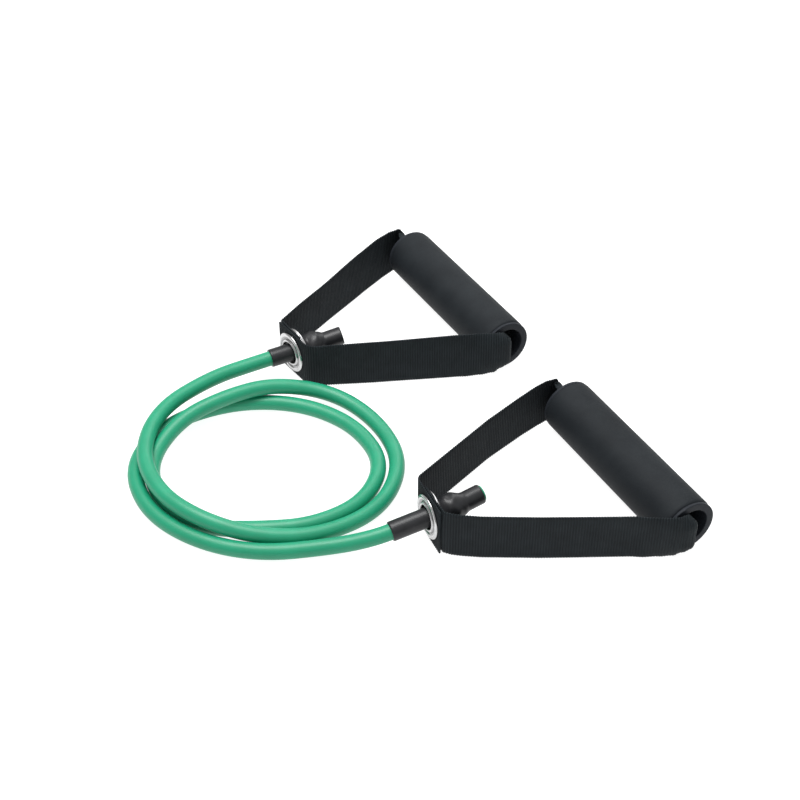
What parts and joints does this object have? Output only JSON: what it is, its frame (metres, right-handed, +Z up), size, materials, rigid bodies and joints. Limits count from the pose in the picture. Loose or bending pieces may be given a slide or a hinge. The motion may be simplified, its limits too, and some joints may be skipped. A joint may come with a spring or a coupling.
{
  "type": "resistance band",
  "caption": "Elastic tube resistance band laid in loose turns, with a webbing loop and foam-covered grip swivelling on an eyelet at each end.",
  "frame": {"origin": "centre of the floor under the two handles and their sleeves", "axes": "+Z up from the floor; the grips lie nearly along -Y, the tube coil at -X"},
  "size_m": [0.3541, 0.3101, 0.035],
  "materials": {
    "foam": "matt closed-cell foam",
    "core_plastic": "extruded tube",
    "cap_plastic": "moulded, semi-gloss",
    "webbing": "ribbed woven webbing",
    "chrome": "bright plated",
    "sleeve_rubber": "satin black rubber",
    "latex": "smooth satin latex, slightly translucent",
    "ball_plastic": "smooth moulded"
  },
  "bodies": {
    "band": {"rubber_sleeve_a": "sleeve_rubber", "latex_tube_end_a": "latex", "stopper_ball_a": "ball_plastic", "latex_tube_lead_a": "latex", "rubber_sleeve_b": "sleeve_rubber", "latex_tube_end_b": "latex", "stopper_ball_b": "ball_plastic", "latex_tube_lead_b": "latex", "latex_tube_coil": "latex"},
    "handle_a": {"webbing_strap_a": "webbing", "grommet_eyelet_a": "chrome", "grommet_washer_a": "chrome"},
    "handle_b": {"webbing_strap_b": "webbing", "grommet_eyelet_b": "chrome", "grommet_washer_b": "chrome"},
    "grip_a": {"foam_grip_a": "foam", "grip_core_a": "core_plastic", "grip_cap_near_a": "cap_plastic", "grip_cap_far_a": "cap_plastic"},
    "grip_b": {"foam_grip_b": "foam", "grip_core_b": "core_plastic", "grip_cap_near_b": "cap_plastic", "grip_cap_far_b": "cap_plastic"}
  },
  "joints": [
    {"name": "handle_a_swivel", "type": "hinge", "parent": "band", "child": "handle_a", "pos_m": [-0.11894, 0.02767, 0.0165], "axis": [-0.8127, -0.5827, 0], "continuous": true},
    {"name": "grip_a_spin", "type": "hinge", "parent": "handle_a", "child": "grip_a", "pos_m": [-0.0076, 0.0892, 0.0175], "axis": [0.4939, -0.8695, 0], "continuous": true},
    {"name": "handle_b_swivel", "type": "hinge", "parent": "band", "child": "handle_b", "pos_m": [-0.02914, -0.13267, 0.0165], "axis": [-0.9191, -0.3939, 0], "continuous": true},
    {"name": "grip_b_spin", "type": "hinge", "parent": "handle_b", "child": "grip_b", "pos_m": [0.0913, -0.0863, 0.0175], "axis": [0.4756, -0.8797, 0], "continuous": true}
  ]
}
